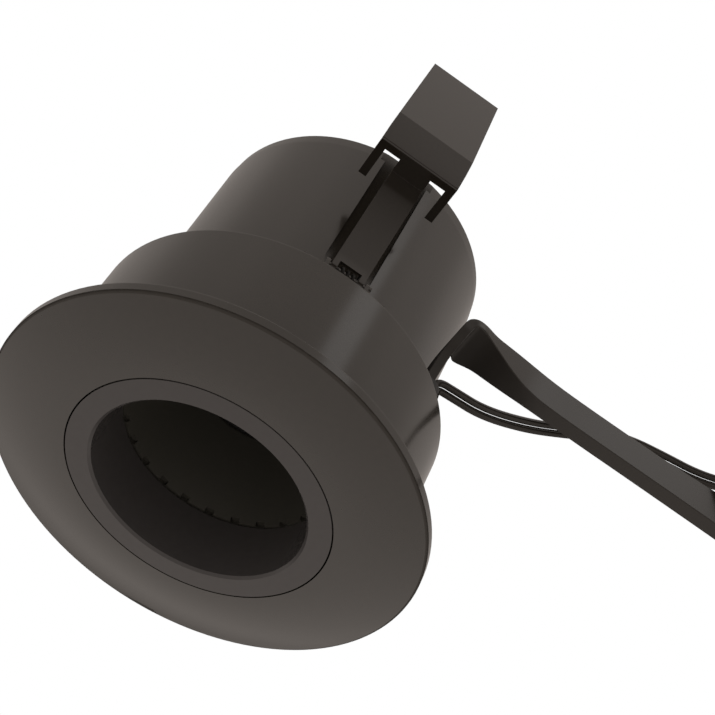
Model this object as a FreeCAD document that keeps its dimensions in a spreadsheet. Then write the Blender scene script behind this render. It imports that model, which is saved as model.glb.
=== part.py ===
import FreeCAD, Part
import math
import os
import re
import Sketcher

# Recessed spotlight, 85 mm flange with a crowned face, two hinged spring clips.
# Millimetres. Z is the lamp's axis and points up into the ceiling. Z = 0 is the back of the flange,
# which lies on the ceiling, so the flange face is below it and the barrels above.
# The clips stand on +X and -X, and the two leads leave over the shoulder towards +Y.

sizes = {
    "flangeLip": 6.7,
    "flangeThickness": 2.4,
    "crownRise": 2.05,
    "flangeRounding": 0.6,
    "rimRounding": 0.3,
    "insertRadius": 25.9,
    "insertGap": 0.3,
    "mouthRadius": 21.0,
    "mouthBevel": 0.5,
    "insertFace": 2.0,
    "insertSkirtWall": 1.6,
    "insertSkirtTop": 12.0,
    "mouthWall": 1.3,
    "mouthTubeTop": 8.7,
    "snapWire": 0.6,
    "snapHeight": 7.0,
    "snapGroove": 0.5,
    "snapOpening": 14.0,
    "socketWall": 2.0,
    "socketTop": 18.0,
    "stopWidth": 1.3,
    "stopThickness": 1.5,
    "stopGap": 0.3,
    "spigotWall": 1.8,
    "spigotHeight": 5.0,
    "spigotGap": 0.1,
    "seatRebate": 0.3,
    "seatGap": 0.1,
    "frontRadius": 35.9,
    "frontWall": 2.0,
    "shoulderHeight": 26.0,
    "shoulderThickness": 2.2,
    "neckRadius": 22.5,
    "backRadius": 29.5,
    "backWall": 1.8,
    "backTop": 67.8,
    "footThickness": 4.0,
    "slotHalf": 5.0,
    "slotStart": 30.6,
    "slotDepth": 0.9,
    "coverThickness": 3.0,
    "coverRadius": 29.4,
    "coverTaper": 0.15,
    "coverRounding": 0.5,
    "notchHalf": 5.95,
    "notchDepth": 0.8,
    "bossCircle": 26.0,
    "bossRadius": 2.4,
    "bossLength": 11.8,
    "screwRadius": 1.25,
    "screwGap": 0.05,
    "screwHead": 2.2,
    "screwHeadHeight": 1.4,
    "screwKey": 1.2,
    "screwKeyDepth": 0.9,
    "screwAzimuth": 90.0,
    "barrelScrewCircle": 27.0,
    "barrelScrewAzimuth": 30.0,
    "barrelScrewReach": 3.0,
    "moduleScrewCircle": 25.0,
    "moduleScrewReach": 3.2,
    "coverScrewReach": 7.8,
    "headRecess": 0.2,
    "cupRadius": 22.2,
    "cupWall": 1.3,
    "cupFront": 10.4,
    "cupFlange": 27.3,
    "cupFlangeThickness": 2.0,
    "padThickness": 0.3,
    "sinkBase": 4.0,
    "sinkRadius": 22.4,
    "sinkTop": 62.0,
    "finPitch": 4.4,
    "finGap": 2.6,
    "finGaps": 9,
    "reflectorMouth": 20.6,
    "reflectorRim": 23.9,
    "reflectorRimThickness": 1.4,
    "reflectorThroat": 14.0,
    "reflectorThroatHeight": 25.0,
    "reflectorWall": 1.2,
    "reflectorCollar": 1.9,
    "reflectorGap": 0.2,
    "toothRadius": 0.9,
    "toothDepth": 0.8,
    "toothCount": 24,
    "boardThickness": 1.4,
    "boardGap": 0.3,
    "emitterRadius": 7.0,
    "emitterThickness": 0.7,
    "holderBore": 8.5,
    "holderRadius": 15.0,
    "holderThickness": 1.5,
    "lensGap": 0.2,
    "lensThickness": 1.2,
    "lensRise": 0.3,
    "pivotReach": 33.25,
    "pivotHeight": 28.2,
    "pinRadius": 0.8,
    "pinHead": 1.2,
    "pinHeadThickness": 0.5,
    "pinGap": 0.05,
    "lugGap": 0.02,
    "knuckleRadius": 1.3,
    "knuckleHalf": 3.4,
    "windowHalf": 2.3,
    "windowTop": 29.8,
    "leafSheet": 0.5,
    "tongueHalf": 3.45,
    "tongueBend": 31.85,
    "tongueTopReach": 38.75,
    "armHeight": 53.55,
    "armReach": 43.75,
    "armHalf": 8.5,
    "notchReach": 42.3,
    "prongInner": 6.8,
    "prongReach": 34.4,
    "leafKneeReach": 44.55,
    "leafKneeHeight": 62.0,
    "leafEndReach": 41.75,
    "leafEndHeight": 86.1,
    "leafEndHalf": 7.7,
    "leafTaperStart": 58.0,
    "leafBendRounding": 0.4,
    "bracketSheet": 0.7,
    "bracketInner": 30.5,
    "bracketOuter": 34.4,
    "bracketHalf": 8.6,
    "lugInner": 3.8,
    "lugSheet": 0.8,
    "rivetReach": 31.6,
    "rivetOffset": 7.0,
    "rivetRadius": 0.7,
    "rivetHead": 1.1,
    "rivetHeadHeight": 0.6,
    "rivetGap": 0.05,
    "springWire": 0.5,
    "springRadius": 1.2,
    "springPitch": 1.1,
    "springFoot": 1.9,
    "springArm": 7.0,
    "springTurns": 3.3,
    "leadCircle": 32.6,
    "supplyAzimuth": 46.4,
    "flexAzimuth": 56.7,
    "supplyWidth": 6.0,
    "flexWidth": 3.0,
    "grommetTop": 2.0,
    "grommetNeck": 0.8,
    "grommetWall": 0.7,
    "flexGrommetTop": 2.0,
    "flexGrommetHead": 1.9,
    "flexGrommetNeck": 1.4,
    "flexGrommetBore": 0.9,
    "grommetGap": 0.05,
    "wireWidth": 1.2,
    "wireSpread": 0.75,
    "wireHole": 1.7,
    "wireHeight": 20.2,
    "wireDrop": 19.4,
    "wireBend": 2.0,
    "supplyPlugStart": 93.0,
    "supplyPlugLength": 18.0,
    "supplyPlugHalf": 4.5,
    "flexPlugStart": 101.0,
    "flexPlugLength": 12.0,
    "flexPlugHalf": 3.2,
    "plugChamfer": 0.9,
    "plugPortRadius": 1.3,
    "plugPortOffset": 2.1,
    "plugPortDepth": 8.0,
    "flexPortRadius": 0.9,
    "flexPortOffset": 1.5,
    "cutOverrun": 2.0,
}

# Centre lines of the two leads, chosen by hand from the picture of the object.
supplyRoute = (
    (22.48, 23.61, 28.0),
    (22.48, 23.61, 34.6),
    (22.48, 25.0, 41.8),
    (22.5, 30.0, 45.6),
    (22.5, 37.0, 45.0),
    (22.5, 50.0, 44.1),
    (22.5, 71.0, 44.3),
    (22.5, 93.0, 44.3),
)
flexRoute = (
    (17.9, 27.25, 28.0),
    (17.9, 27.25, 32.4),
    (17.8, 30.4, 35.8),
    (17.3, 38.0, 36.9),
    (17.0, 46.4, 40.8),
    (16.7, 54.4, 46.0),
    (16.6, 61.0, 50.2),
    (17.3, 67.5, 53.8),
    (19.2, 74.5, 54.6),
    (22.3, 81.0, 52.0),
    (26.4, 86.6, 49.8),
    (30.4, 91.4, 49.6),
    (32.0, 96.2, 50.0),
    (32.0, 101.0, 50.0),
)
bendShare = 0.45
quarterSamples = 8

doc = FreeCAD.newDocument("RecessedSpotlight")
sheet = doc.addObject("Spreadsheet::Sheet", "Sizes")
for row, (alias, size) in enumerate(sizes.items(), 1):
    sheet.set("A%d" % row, alias)
    sheet.set("B%d" % row, str(size))
    sheet.setAlias("B%d" % row, alias)
doc.recompute()

subParts = []


def tied(text):
    """The expression with each size's name pointing at its cell of the sheet."""
    return re.sub(r"[A-Za-z]\w*", lambda word: "Sizes." + word[0] if word[0] in sizes else word[0], text)


def amount(text):
    """The number that an expression of sizes gives."""
    result = sheet.evalExpression(tied(text))
    return float(getattr(result, "Value", result))


def bind(item, **expressions):
    """Tie properties to expressions. A double underscore in a name stands for a dot."""
    for name, text in expressions.items():
        item.setExpression(name.replace("__", "."), tied(text))


def keep(item, label):
    item.Label = label
    subParts.append(item)
    return item


def new_body(label):
    body = doc.addObject("PartDesign::Body", label + "_body")
    return keep(body, label)


def sketch_on(body, role, height="0"):
    """A sketch on one of the body's own planes, moved along the plane's normal by height."""
    plane = [item for item in body.Origin.OriginFeatures if item.Role == role][0]
    sketch = body.newObject("Sketcher::SketchObject", "Sketch")
    sketch.AttachmentSupport = [(plane, "")]
    sketch.MapMode = "FlatFace"
    bind(sketch, AttachmentOffset__Base__z=height)
    return sketch


def fix_point(sketch, curve, place, across, up):
    """Hold a point of a curve at two expressions measured from the sketch's origin."""
    for kind, axis, text in (("DistanceX", -2, across), ("DistanceY", -1, up)):
        if amount(text) == 0:
            sketch.addConstraint(Sketcher.Constraint("PointOnObject", curve, place, axis))
            continue
        index = sketch.addConstraint(Sketcher.Constraint(kind, -1, 1, curve, place, amount(text)))
        sketch.setExpression("Constraints[%d]" % index, tied(text))


def left_arc(start, end, centre_across):
    """The arc from start to end that turns left about a centre at the given distance across."""
    gap = end - start
    aside = FreeCAD.Vector(-gap.y, gap.x, 0)
    middle = (start + end) * 0.5
    centre = middle + aside * ((centre_across - middle.x) / aside.x)
    turns = [math.atan2(point.y - centre.y, point.x - centre.x) for point in (start, end)]
    circle = Part.Circle(centre, FreeCAD.Vector(0, 0, 1), (start - centre).Length)
    return Part.ArcOfCircle(circle, *turns)


def add_outline(sketch, corners, arcs=None):
    """A closed outline through corners given as pairs of expressions.
    Its sides are straight, but arcs names the sides that turn left about a centre, by the corner where
    each starts, with the centre's distance across."""
    arcs = arcs or {}
    points = [FreeCAD.Vector(amount(across), amount(up), 0) for across, up in corners]
    first = sketch.GeometryCount
    count = len(points)
    for i in range(count):
        ends = (points[i], points[(i + 1) % count])
        side = left_arc(*ends, amount(arcs[i])) if i in arcs else Part.LineSegment(*ends)
        sketch.addGeometry(side, False)
    for i in range(count):
        joint = Sketcher.Constraint("Coincident", first + i, 2, first + (i + 1) % count, 1)
        sketch.addConstraint(joint)
    for i, (across, up) in enumerate(corners):
        fix_point(sketch, first + i, 1, across, up)
    for i, across in arcs.items():
        centre = Sketcher.Constraint("DistanceX", -1, 1, first + i, 3, amount(across))
        sketch.setExpression("Constraints[%d]" % sketch.addConstraint(centre), tied(across))


def add_circle(sketch, across, up, radius):
    centre = FreeCAD.Vector(amount(across), amount(up), 0)
    index = sketch.GeometryCount
    sketch.addGeometry(Part.Circle(centre, FreeCAD.Vector(0, 0, 1), amount(radius)), False)
    size = sketch.addConstraint(Sketcher.Constraint("Radius", index, amount(radius)))
    sketch.setExpression("Constraints[%d]" % size, tied(radius))
    fix_point(sketch, index, 3, across, up)


def turn(body, corners, arcs=None):
    """Turn an outline of (radius, height) pairs about the Z axis."""
    sketch = sketch_on(body, "XZ_Plane")
    add_outline(sketch, corners, arcs)
    feature = body.newObject("PartDesign::Revolution", "Turned")
    feature.Profile = sketch
    feature.ReferenceAxis = (sketch, ["V_Axis"])
    feature.Angle = 360
    return feature


def pad(body, sketch, length, centred=False, back=False):
    feature = body.newObject("PartDesign::Pad", "Padded")
    feature.Profile = sketch
    feature.SideType = "Symmetric" if centred else "One side"
    feature.Reversed = back
    bind(feature, Length=length)
    return feature


def pocket(body, sketch, length=None):
    """Cut a sketch's shape: all the way both ways, or by a length centred on the sketch."""
    doc.recompute()
    before = body.Shape.Volume
    feature = body.newObject("PartDesign::Pocket", "Cut")
    feature.Profile = sketch
    feature.SideType = "Symmetric"
    if length is None:
        feature.Type = "ThroughAll"
    else:
        bind(feature, Length=length)
    doc.recompute()
    if body.Shape.Volume >= before:
        raise RuntimeError(body.Label + ": a cut removed nothing")
    return feature


def cut_holes(body, centres, radius, height="0", length=None, role="XY_Plane"):
    sketch = sketch_on(body, role, height)
    for across, up in centres:
        add_circle(sketch, across, up, radius)
    return pocket(body, sketch, length)


def round_rings(body, rounding, rings):
    """Round the circular edges whose radius and height are listed."""
    doc.recompute()
    base = body.Tip
    wanted = [(amount(radius), amount(height)) for radius, height in rings]
    names = []
    for index, edge in enumerate(base.Shape.Edges, 1):
        if not isinstance(edge.Curve, Part.Circle):
            continue
        found = (edge.Curve.Radius, edge.Curve.Center.z)
        if any(math.dist(found, ring) < amount("lugGap") for ring in wanted):
            names.append("Edge%d" % index)
    feature = body.newObject("PartDesign::Fillet", "Rounded")
    feature.Base = (base, names)
    bind(feature, Radius=rounding)
    return feature


def ring_of_three(circle, azimuth):
    """Centres of three places spaced evenly on a circle."""
    turns = ("", " + 120", " + 240")
    return [("%s * cos(%s%s)" % (circle, azimuth, step), "%s * sin(%s%s)" % (circle, azimuth, step))
            for step in turns]


def cylinder(radius, length, across="0", along="0", up="0"):
    item = doc.addObject("Part::Cylinder", "Cylinder")
    bind(item, Radius=radius, Height=length)
    bind(item, Placement__Base__x=across, Placement__Base__y=along, Placement__Base__z=up)
    return item


def group(label, items):
    compound = doc.addObject("Part::Compound", label + "_group")
    compound.Links = items
    return keep(compound, label)


def face_height():
    """Height of the flat middle of the face: the rim's thickness and the crown below the ceiling."""
    return "-(flangeThickness + crownRise)"


def make_trim_flange():
    """The face is flat at the insert's gap and bends back to the rim in one arc."""
    body = new_body("trim_flange")
    bore = "insertRadius + insertGap"
    rim = "frontRadius + seatGap + flangeLip"
    socket = bore + " + socketWall"
    spigot = "frontRadius - frontWall - spigotGap"
    step = "insertSkirtTop + stopGap"
    turn(body, (
        (bore, face_height()),
        (rim, "-flangeThickness"),
        (rim, "0"),
        ("frontRadius + seatGap", "0"),
        ("frontRadius + seatGap", "-seatRebate"),
        (spigot, "-seatRebate"),
        (spigot, "spigotHeight"),
        (spigot + " - spigotWall", "spigotHeight"),
        (spigot + " - spigotWall", "0"),
        (socket, "0"),
        (socket, "socketTop"),
        (bore, "socketTop"),
        (bore, step + " + stopThickness"),
        (bore + " - stopWidth", step + " + stopThickness"),
        (bore + " - stopWidth", step),
        (bore, step),
    ), {0: bore})
    round_rings(body, "flangeRounding", ((rim, "-flangeThickness"),))
    round_rings(body, "rimRounding", ((rim, "0"),))


def make_front_barrel():
    body = new_body("front_barrel")
    turn(body, (
        ("frontRadius - frontWall", "-seatRebate"),
        ("frontRadius", "-seatRebate"),
        ("frontRadius", "shoulderHeight"),
        ("neckRadius", "shoulderHeight"),
        ("neckRadius", "shoulderHeight - shoulderThickness"),
        ("frontRadius - frontWall", "shoulderHeight - shoulderThickness"),
    ))
    round_rings(body, "rimRounding", (("frontRadius", "shoulderHeight"),))
    cut_holes(body, ring_of_three("barrelScrewCircle", "barrelScrewAzimuth"), "screwRadius + screwGap")
    rivets = [(side + "rivetReach", end + "rivetOffset") for side in ("", "-") for end in ("", "-")]
    cut_holes(body, rivets, "rivetRadius + rivetGap")
    supply = ("leadCircle * cos(supplyAzimuth)", "leadCircle * sin(supplyAzimuth)")
    flex = ("leadCircle * cos(flexAzimuth)", "leadCircle * sin(flexAzimuth)")
    plate = "2 * shoulderThickness"
    cut_holes(body, (supply,), "supplyWidth / 2 - grommetNeck + grommetGap", "shoulderHeight", plate)
    cut_holes(body, (flex,), "flexGrommetNeck + grommetGap", "shoulderHeight", plate)


def make_back_barrel():
    body = new_body("back_barrel")
    foot = "shoulderHeight + footThickness"
    turn(body, (
        ("neckRadius", "shoulderHeight"),
        ("backRadius", "shoulderHeight"),
        ("backRadius", "backTop"),
        ("backRadius - backWall", "backTop"),
        ("backRadius - backWall", foot),
        ("neckRadius", foot),
    ))
    bosses = sketch_on(body, "XY_Plane", "backTop - bossLength")
    for across, up in ring_of_three("bossCircle", "screwAzimuth"):
        add_circle(bosses, across, up, "bossRadius")
    pad(body, bosses, "bossLength")
    for side in ("", "-"):
        slot = sketch_on(body, "YZ_Plane", side + "backRadius")
        add_outline(slot, (
            ("-slotHalf", "slotStart + slotHalf"),
            ("slotHalf", "slotStart + slotHalf"),
            ("slotHalf", "backTop + cutOverrun"),
            ("-slotHalf", "backTop + cutOverrun"),
        ))
        pocket(body, slot, "2 * slotDepth")
        cut_holes(body, (("0", "slotStart + slotHalf"),), "slotHalf", side + "backRadius", "2 * slotDepth",
                  "YZ_Plane")
    hole = "screwRadius + screwGap"
    cut_holes(body, ring_of_three("bossCircle", "screwAzimuth"), hole, "backTop",
              "2 * (coverScrewReach + headRecess)")
    cut_holes(body, ring_of_three("moduleScrewCircle", "screwAzimuth"), hole, foot,
              "2 * (moduleScrewReach + headRecess)")
    cut_holes(body, ring_of_three("barrelScrewCircle", "barrelScrewAzimuth"), hole, "shoulderHeight",
              "2 * (barrelScrewReach + headRecess)")


def make_back_cover():
    body = new_body("back_cover")
    top = "backTop + coverThickness"
    turn(body, (
        ("0", "backTop"),
        ("coverRadius", "backTop"),
        ("coverRadius - coverTaper", top),
        ("0", top),
    ))
    round_rings(body, "coverRounding", (("coverRadius - coverTaper", top),))
    for side in ("", "-"):
        notch = sketch_on(body, "XY_Plane", "backTop")
        inner = side + "(coverRadius - notchDepth)"
        outer = side + "(coverRadius + cutOverrun)"
        add_outline(notch, ((inner, "-notchHalf"), (outer, "-notchHalf"), (outer, "notchHalf"),
                            (inner, "notchHalf")))
        pocket(body, notch)
    places = ring_of_three("bossCircle", "screwAzimuth")
    cut_holes(body, places, "screwRadius + screwGap")
    cut_holes(body, places, "screwHead + headRecess", top, "2 * (screwHeadHeight + headRecess)")


def make_trim_insert():
    body = new_body("trim_insert")
    groove = "insertRadius - snapGroove"
    turn(body, (
        ("mouthRadius + mouthBevel", face_height()),
        ("insertRadius", face_height()),
        ("insertRadius", "snapHeight - snapWire / 2 - lugGap"),
        (groove, "snapHeight - snapWire / 2 - lugGap"),
        (groove, "snapHeight + snapWire / 2 + lugGap"),
        ("insertRadius", "snapHeight + snapWire / 2 + lugGap"),
        ("insertRadius", "insertSkirtTop"),
        ("insertRadius - insertSkirtWall", "insertSkirtTop"),
        ("insertRadius - insertSkirtWall", "insertFace + " + face_height()),
        ("mouthRadius + mouthWall", "insertFace + " + face_height()),
        ("mouthRadius + mouthWall", "mouthTubeTop"),
        ("mouthRadius", "mouthTubeTop"),
        ("mouthRadius", "mouthBevel + " + face_height()),
    ))


def make_insert_snap_ring():
    ring = keep(doc.addObject("Part::Torus", "SnapRing"), "insert_snap_ring")
    bind(ring, Radius1="insertRadius - snapGroove + snapWire / 2 + lugGap", Radius2="snapWire / 2",
         Angle3="360 - snapOpening", Placement__Base__z="snapHeight")


def make_reflector():
    body = new_body("reflector")
    front = "cupFront - reflectorRimThickness"
    top = "reflectorThroatHeight + reflectorCollar"
    collar = "reflectorThroat + reflectorWall"
    turn(body, (
        ("reflectorMouth", front),
        ("reflectorRim", front),
        ("reflectorRim", "cupFront"),
        ("cupRadius - cupWall - reflectorGap", "cupFront"),
        (collar, "reflectorThroatHeight"),
        (collar, top),
        ("reflectorThroat", top),
        ("reflectorThroat", "reflectorThroatHeight"),
    ))
    tooth = cut_holes(body, (("reflectorMouth", "0"),), "toothRadius", front, "2 * toothDepth")
    axis = [item for item in body.Origin.OriginFeatures if item.Role == "Z_Axis"][0]
    teeth = body.newObject("PartDesign::PolarPattern", "Teeth")
    teeth.Originals = [tooth]
    teeth.Axis = (axis, [""])
    teeth.Angle = 360
    bind(teeth, Occurrences="toothCount")
    body.Tip = teeth


def make_lens():
    body = new_body("lens")
    low = "reflectorThroatHeight + lensRise"
    rim = "reflectorThroat - lensGap"
    turn(body, (("0", low), (rim, low), (rim, low + " + lensThickness"), ("0", low + " + lensThickness")))


def cup_ceiling():
    """Height of the closed end inside the module housing, which the board lies against."""
    return "shoulderHeight + footThickness"


def make_led_parts():
    board = cup_ceiling() + " - boardThickness"
    boardEdge = "cupRadius - cupWall - boardGap"
    body = new_body("led_board")
    turn(body, (("0", board), (boardEdge, board), (boardEdge, cup_ceiling()), ("0", cup_ceiling())))
    emitter = new_body("led_emitter")
    low = board + " - emitterThickness"
    turn(emitter, (("0", low), ("emitterRadius", low), ("emitterRadius", board), ("0", board)))
    holder = new_body("led_holder")
    low = board + " - holderThickness"
    turn(holder, (("holderBore", low), ("holderRadius", low), ("holderRadius", board), ("holderBore", board)))


def make_module_housing():
    body = new_body("module_housing")
    top = cup_ceiling() + " + cupFlangeThickness"
    inner = "cupRadius - cupWall"
    turn(body, (
        (inner, "cupFront"),
        ("cupRadius", "cupFront"),
        ("cupRadius", cup_ceiling()),
        ("cupFlange", cup_ceiling()),
        ("cupFlange", top),
        ("0", top),
        ("0", cup_ceiling()),
        (inner, cup_ceiling()),
    ))
    cut_holes(body, ring_of_three("moduleScrewCircle", "screwAzimuth"), "screwRadius + screwGap")
    for azimuth in ("supplyAzimuth", "flexAzimuth"):
        sketch = sketch_on(body, "YZ_Plane")
        sketch.AttachmentOffset = FreeCAD.Placement(
            FreeCAD.Vector(0, 0, 0), FreeCAD.Rotation(FreeCAD.Vector(0, 1, 0), amount(azimuth)))
        add_circle(sketch, "0", "wireHeight", "wireHole")
        pocket(body, sketch)


def make_thermal_pad():
    body = new_body("thermal_pad")
    low = cup_ceiling() + " + cupFlangeThickness"
    turn(body, (("0", low), ("cupFlange", low), ("cupFlange", low + " + padThickness"),
                ("0", low + " + padThickness")))
    cut_holes(body, ring_of_three("moduleScrewCircle", "screwAzimuth"), "screwRadius + screwGap")


def sink_base():
    return cup_ceiling() + " + cupFlangeThickness + padThickness"


def make_heat_sink():
    body = new_body("heat_sink")
    base = sink_base() + " + sinkBase"
    turn(body, (
        ("0", sink_base()),
        ("cupFlange", sink_base()),
        ("cupFlange", base),
        ("sinkRadius", base),
        ("sinkRadius", "sinkTop"),
        ("0", "sinkTop"),
    ))
    sketch = sketch_on(body, "YZ_Plane")
    middle = "-finPitch * (finGaps - 1) / 2"
    top = "sinkTop + cutOverrun"
    add_outline(sketch, ((middle + " - finGap / 2", base), (middle + " + finGap / 2", base),
                         (middle + " + finGap / 2", top), (middle + " - finGap / 2", top)))
    gap = pocket(body, sketch)
    row = body.newObject("PartDesign::LinearPattern", "FinGaps")
    row.Originals = [gap]
    row.Direction = (sketch, ["H_Axis"])
    bind(row, Length="finPitch * (finGaps - 1)", Occurrences="finGaps")
    body.Tip = row
    cut_holes(body, ring_of_three("moduleScrewCircle", "screwAzimuth"), "screwRadius + screwGap",
              sink_base(), "2 * (sinkBase + headRecess)")


def make_screws(label, centres, seat, shank, up=False):
    """Socket head screws whose heads rest on seat. Up says that the shanks point up from it."""
    headLow = seat + " - screwHeadHeight" if up else seat
    shankLow = seat if up else seat + " - (" + shank + ")"
    keyLow = headLow if up else seat + " + screwHeadHeight - screwKeyDepth"
    screws = []
    for across, along in centres:
        head = cylinder("screwHead", "screwHeadHeight", across, along, headLow)
        stem = cylinder("screwRadius", shank, across, along, shankLow)
        solid = doc.addObject("Part::Fuse", "Screw")
        solid.Base = head
        solid.Tool = stem
        key = doc.addObject("Part::Prism", "Key")
        key.Polygon = 6
        bind(key, Circumradius="screwKey", Height="screwKeyDepth")
        bind(key, Placement__Base__x=across, Placement__Base__y=along, Placement__Base__z=keyLow)
        screw = doc.addObject("Part::Cut", "SocketScrew")
        screw.Base = solid
        screw.Tool = key
        screws.append(screw)
    group(label, screws)


def make_all_screws():
    foot = "shoulderHeight + footThickness"
    base = sink_base() + " + sinkBase"
    make_screws("barrel_screws", ring_of_three("barrelScrewCircle", "barrelScrewAzimuth"),
                "shoulderHeight - shoulderThickness", "shoulderThickness + barrelScrewReach", up=True)
    make_screws("module_screws", ring_of_three("moduleScrewCircle", "screwAzimuth"), base,
                base + " - (" + foot + ") + moduleScrewReach")
    seat = "backTop + coverThickness - screwHeadHeight - headRecess"
    make_screws("cover_screws", ring_of_three("bossCircle", "screwAzimuth"), seat,
                "coverThickness - screwHeadHeight - headRecess + coverScrewReach")


def place_side(item, turned):
    """Side b is side a turned half round the lamp's axis."""
    if turned:
        item.Placement = FreeCAD.Placement(
            FreeCAD.Vector(0, 0, 0), FreeCAD.Rotation(FreeCAD.Vector(0, 0, 1), 180))


def make_clip_leaf(side, turned):
    body = new_body("clip_%s_leaf" % side)
    knuckle = sketch_on(body, "XZ_Plane")
    add_circle(knuckle, "pivotReach", "pivotHeight", "knuckleRadius")
    pad(body, knuckle, "2 * knuckleHalf", centred=True)
    outer = "pivotReach + knuckleRadius"
    inner = outer + " - leafSheet"
    top = "armHeight + leafSheet"
    tongue = sketch_on(body, "XZ_Plane")
    add_outline(tongue, (
        (inner, "pivotHeight"),
        (outer, "pivotHeight"),
        (outer, "tongueBend"),
        ("tongueTopReach + leafSheet", top),
        ("tongueTopReach", top),
        (inner, "tongueBend"),
    ))
    pad(body, tongue, "2 * tongueHalf", centred=True)
    arm = sketch_on(body, "XY_Plane", "armHeight")
    add_outline(arm, (
        ("armReach + leafSheet", "-armHalf"),
        ("armReach + leafSheet", "armHalf"),
        ("prongReach", "armHalf"),
        ("prongReach", "prongInner"),
        ("notchReach", "prongInner"),
        ("notchReach", "tongueHalf"),
        ("tongueTopReach", "tongueHalf"),
        ("tongueTopReach", "-tongueHalf"),
        ("notchReach", "-tongueHalf"),
        ("notchReach", "-prongInner"),
        ("prongReach", "-prongInner"),
        ("prongReach", "-armHalf"),
    ))
    pad(body, arm, "leafSheet")
    leaf = sketch_on(body, "XZ_Plane")
    add_outline(leaf, (
        ("armReach", "armHeight"),
        ("armReach + leafSheet", "armHeight"),
        ("leafKneeReach + leafSheet", "leafKneeHeight"),
        ("leafEndReach + leafSheet", "leafEndHeight"),
        ("leafEndReach", "leafEndHeight"),
        ("leafKneeReach", "leafKneeHeight"),
    ))
    pad(body, leaf, "2 * armHalf", centred=True)
    for end in ("", "-"):
        taper = sketch_on(body, "YZ_Plane")
        wide = end + "(armHalf + cutOverrun)"
        add_outline(taper, (
            (end + "armHalf", "leafTaperStart"),
            (wide, "leafTaperStart"),
            (wide, "leafEndHeight + cutOverrun"),
            (end + "leafEndHalf", "leafEndHeight + cutOverrun"),
        ))
        pocket(body, taper)
    window = sketch_on(body, "XZ_Plane")
    add_outline(window, (
        ("pivotReach - knuckleRadius - cutOverrun", "pivotHeight - knuckleRadius - cutOverrun"),
        ("pivotReach + knuckleRadius + cutOverrun", "pivotHeight - knuckleRadius - cutOverrun"),
        ("pivotReach + knuckleRadius + cutOverrun", "windowTop"),
        ("pivotReach - knuckleRadius - cutOverrun", "windowTop"),
    ))
    pocket(body, window, "2 * windowHalf")
    cut_holes(body, (("pivotReach", "pivotHeight"),), "pinRadius + pinGap", role="XZ_Plane")
    round_clip_bend(body)
    place_side(body, turned)


def round_clip_bend(body):
    """Round the outside of the bend between the arm and the leaf."""
    base = body.Tip
    corner = (amount("armReach + leafSheet"), amount("armHeight"))
    names = []
    for index, edge in enumerate(base.Shape.Edges, 1):
        ends = [(vertex.Point.x, vertex.Point.z) for vertex in edge.Vertexes]
        if len(ends) == 2 and all(math.dist(end, corner) < amount("lugGap") for end in ends):
            names.append("Edge%d" % index)
    feature = body.newObject("PartDesign::Fillet", "Bend")
    feature.Base = (base, names)
    bind(feature, Radius="leafBendRounding")


def make_clip_bracket(side, turned):
    body = new_body("clip_%s_bracket" % side)
    floor = "shoulderHeight + bracketSheet"
    left = "pivotReach - knuckleRadius"
    right = "pivotReach + knuckleRadius"
    cheeks = sketch_on(body, "XZ_Plane")
    add_outline(cheeks, ((left, "shoulderHeight"), (right, "shoulderHeight"), (right, "pivotHeight"),
                         (left, "pivotHeight")))
    pad(body, cheeks, "2 * (lugInner + lugSheet)", centred=True)
    crown = sketch_on(body, "XZ_Plane")
    add_circle(crown, "pivotReach", "pivotHeight", "knuckleRadius")
    pad(body, crown, "2 * (lugInner + lugSheet)", centred=True)
    between = sketch_on(body, "XZ_Plane")
    high = "pivotHeight + knuckleRadius + cutOverrun"
    add_outline(between, ((left + " - cutOverrun", floor), (right + " + cutOverrun", floor),
                          (right + " + cutOverrun", high), (left + " - cutOverrun", high)))
    pocket(body, between, "2 * lugInner")
    plate = sketch_on(body, "XY_Plane", "shoulderHeight")
    add_outline(plate, (("bracketInner", "-bracketHalf"), ("bracketOuter", "-bracketHalf"),
                        ("bracketOuter", "bracketHalf"), ("bracketInner", "bracketHalf")))
    pad(body, plate, "bracketSheet")
    cut_holes(body, (("pivotReach", "pivotHeight"),), "pinRadius + lugGap", role="XZ_Plane")
    cut_holes(body, (("rivetReach", "rivetOffset"), ("rivetReach", "-rivetOffset")),
              "rivetRadius + rivetGap")
    place_side(body, turned)


def make_clip_rivets(side, turned):
    low = "shoulderHeight - shoulderThickness"
    top = "shoulderHeight + bracketSheet"
    sign = "-" if turned else ""
    rivets = []
    for end in ("", "-"):
        place = (sign + "rivetReach", end + "rivetOffset")
        rivet = doc.addObject("Part::MultiFuse", "Rivet")
        rivet.Shapes = [
            cylinder("rivetRadius", top + " - (" + low + ")", *place, low),
            cylinder("rivetHead", "rivetHeadHeight", *place, top),
            cylinder("rivetHead", "rivetHeadHeight", *place, low + " - rivetHeadHeight"),
        ]
        rivets.append(rivet)
    group("clip_%s_rivets" % side, rivets)


def make_clip_pin(side, turned):
    """The hinge pin lies along Y, with a head at one end."""
    sign = "-" if turned else ""
    half = "lugInner + lugSheet + lugGap"
    stem = cylinder("pinRadius", "2 * (" + half + ")", sign + "pivotReach", half, "pivotHeight")
    head = cylinder("pinHead", "pinHeadThickness", sign + "pivotReach", half + " + pinHeadThickness",
                    "pivotHeight")
    for item in (stem, head):
        item.Placement.Rotation = FreeCAD.Rotation(FreeCAD.Vector(1, 0, 0), 90)
    pin = keep(doc.addObject("Part::Fuse", "Pin"), "clip_%s_pin" % side)
    pin.Base = stem
    pin.Tool = head


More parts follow.
